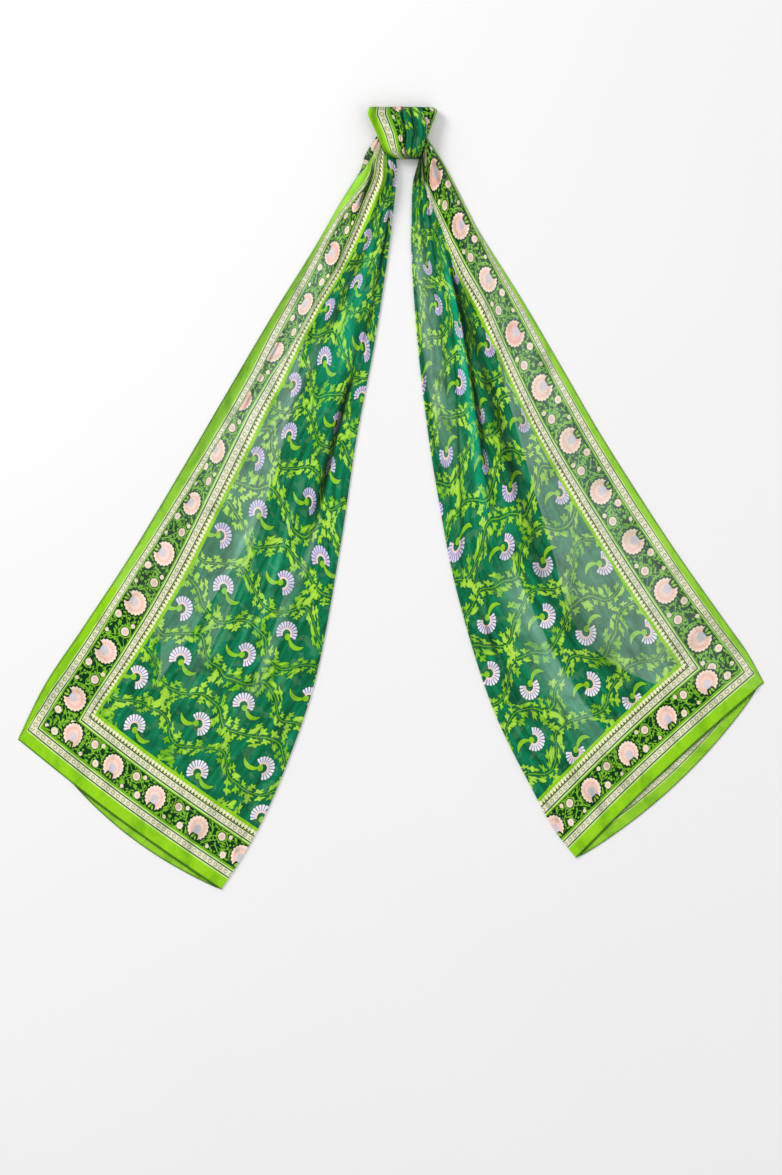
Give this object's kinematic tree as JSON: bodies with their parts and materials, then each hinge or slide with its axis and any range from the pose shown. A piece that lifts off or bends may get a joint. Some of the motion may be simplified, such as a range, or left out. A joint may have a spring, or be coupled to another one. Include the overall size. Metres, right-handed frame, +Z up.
{
  "type": "knotted shawl",
  "caption": "Sheer flower-bordered shawl, doubled lengthwise, gathered through a knot at its middle and laid flat with its tails spread apart",
  "frame": {"origin": "on the surface that the shawl lies on, under the middle of its bounding box", "axes": "+Z up; +Y from the hems towards the knot, the longest extent; +X to the right seen from above with the knot at the far end"},
  "size_m": [0.88, 0.923, 0.0261],
  "materials": {
    "printed_cloth": "sheer plain-weave cotton and silk, printed in emerald, dark green, lime, cream and pink, with a soft sheen",
    "knot_cloth": "the same cloth gathered in close pleats, so that its colours are deeper",
    "hidden_cloth": "the same cloth, in layers out of the light"
  },
  "bodies": {
    "root": {"left_tail": "printed_cloth", "right_tail": "printed_cloth", "left_gathers": "hidden_cloth", "right_gathers": "hidden_cloth", "knot_band": "knot_cloth", "knot_ear": "knot_cloth", "knot_core": "hidden_cloth"}
  },
  "joints": []
}
